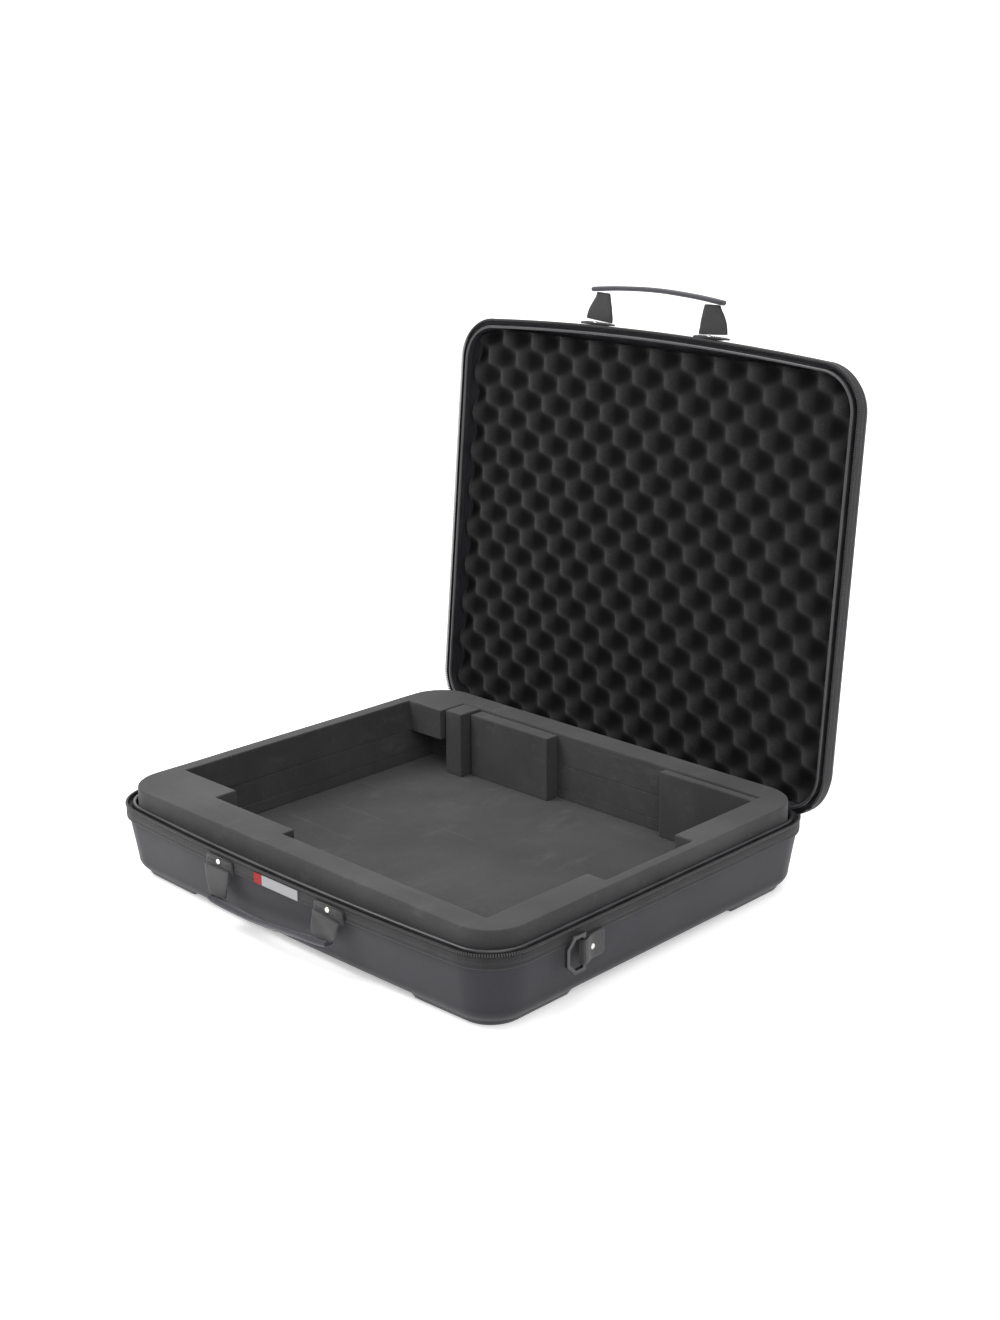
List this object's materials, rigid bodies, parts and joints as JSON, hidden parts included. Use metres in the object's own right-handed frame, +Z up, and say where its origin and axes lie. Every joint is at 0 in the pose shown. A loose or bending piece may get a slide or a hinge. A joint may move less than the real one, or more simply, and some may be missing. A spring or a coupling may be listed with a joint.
{
  "type": "foam-lined equipment carry case",
  "caption": "Soft-sided clamshell carry case with a zip rim, foam-lined pocket, egg-crate foam lid, webbing handles on both halves and side D-rings.",
  "frame": {"origin": "on the floor, under the middle of the open case's bounding box", "axes": "+X to the right when the case is seen from its front, +Y from the front handle to the hinge, +Z up"},
  "size_m": [0.5176, 0.5078, 0.5252],
  "materials": {
    "shell_cloth": "fine woven cloth over moulded board",
    "zip_tape": "woven tape",
    "zip_teeth": "satin",
    "edge_binding": "satin binding",
    "eva_foam": "closed-cell foam, scuffed",
    "convoluted_foam": "open-cell foam",
    "webbing": "ribbed webbing",
    "grip_cover": "soft padded cover",
    "rivet_metal": "polished",
    "ring_plastic": "satin",
    "slider_metal": "satin black",
    "label_cloth": "plain woven label"
  },
  "bodies": {
    "base": {"base_shell": "shell_cloth", "base_zip_tape": "zip_tape", "base_zip_teeth": "zip_teeth", "base_rim_lip": "edge_binding", "hinge_strip_lower": "zip_tape", "floor_pad": "eva_foam", "foam_layer_lower": "eva_foam", "foam_layer_middle": "eva_foam", "foam_layer_upper": "eva_foam", "corner_post": "eva_foam", "back_wall_pad": "eva_foam", "back_right_block": "eva_foam", "front_strip": "eva_foam", "front_label": "label_cloth", "base_handle_patches": "webbing", "base_handle_rivets": "rivet_metal", "ring_tab_left": "webbing", "ring_tab_right": "webbing", "ring_tab_rivets": "rivet_metal", "zip_end_stops": "rivet_metal"},
    "lid": {"lid_shell": "shell_cloth", "lid_zip_tape": "zip_tape", "lid_zip_teeth": "zip_teeth", "lid_rim_lip": "edge_binding", "hinge_strip_upper": "zip_tape", "convoluted_foam": "convoluted_foam", "lid_handle_patches": "webbing", "lid_handle_rivets": "rivet_metal"},
    "base_handle": {"base_handle_tabs": "webbing", "base_handle_grip": "grip_cover"},
    "lid_handle": {"lid_handle_tabs": "webbing", "lid_handle_grip": "grip_cover"},
    "ring_left": {"d_ring_left": "ring_plastic"},
    "ring_right": {"d_ring_right": "ring_plastic"},
    "zip_slider": {"zip_slider": "slider_metal"},
    "zip_pull": {"zip_pull": "slider_metal"}
  },
  "joints": [
    {"name": "lid_hinge", "type": "hinge", "parent": "base", "child": "lid", "pos_m": [0, 0.17894, 0.0635], "axis": [1, 0, 0], "range_deg": [0, 95]},
    {"name": "base_handle_pivot", "type": "hinge", "parent": "base", "child": "base_handle", "pos_m": [0, -0.24791, 0.058], "axis": [-1, 0, 0], "range_deg": [0, 88]},
    {"name": "lid_handle_pivot", "type": "hinge", "parent": "lid", "child": "lid_handle", "pos_m": [0, 0.23656, 0.48694], "axis": [-1, 0, 0], "range_deg": [0, 88]},
    {"name": "ring_left_pivot", "type": "hinge", "parent": "base", "child": "ring_left", "pos_m": [-0.2553, -0.13856, 0.0485], "axis": [0, 0, -1], "range_deg": [0, 150]},
    {"name": "ring_right_pivot", "type": "hinge", "parent": "base", "child": "ring_right", "pos_m": [0.2553, -0.13856, 0.0485], "axis": [0, 0, 1], "range_deg": [0, 150]},
    {"name": "zip_slide", "type": "slide", "parent": "base", "child": "zip_slider", "axis": [0, -1, 0], "range_m": [0, 0.3]},
    {"name": "zip_pull_pivot", "type": "hinge", "parent": "zip_slider", "child": "zip_pull", "pos_m": [-0.2559, 0.13244, 0.071], "axis": [0, 0, -1], "range_deg": [0, 170]}
  ]
}
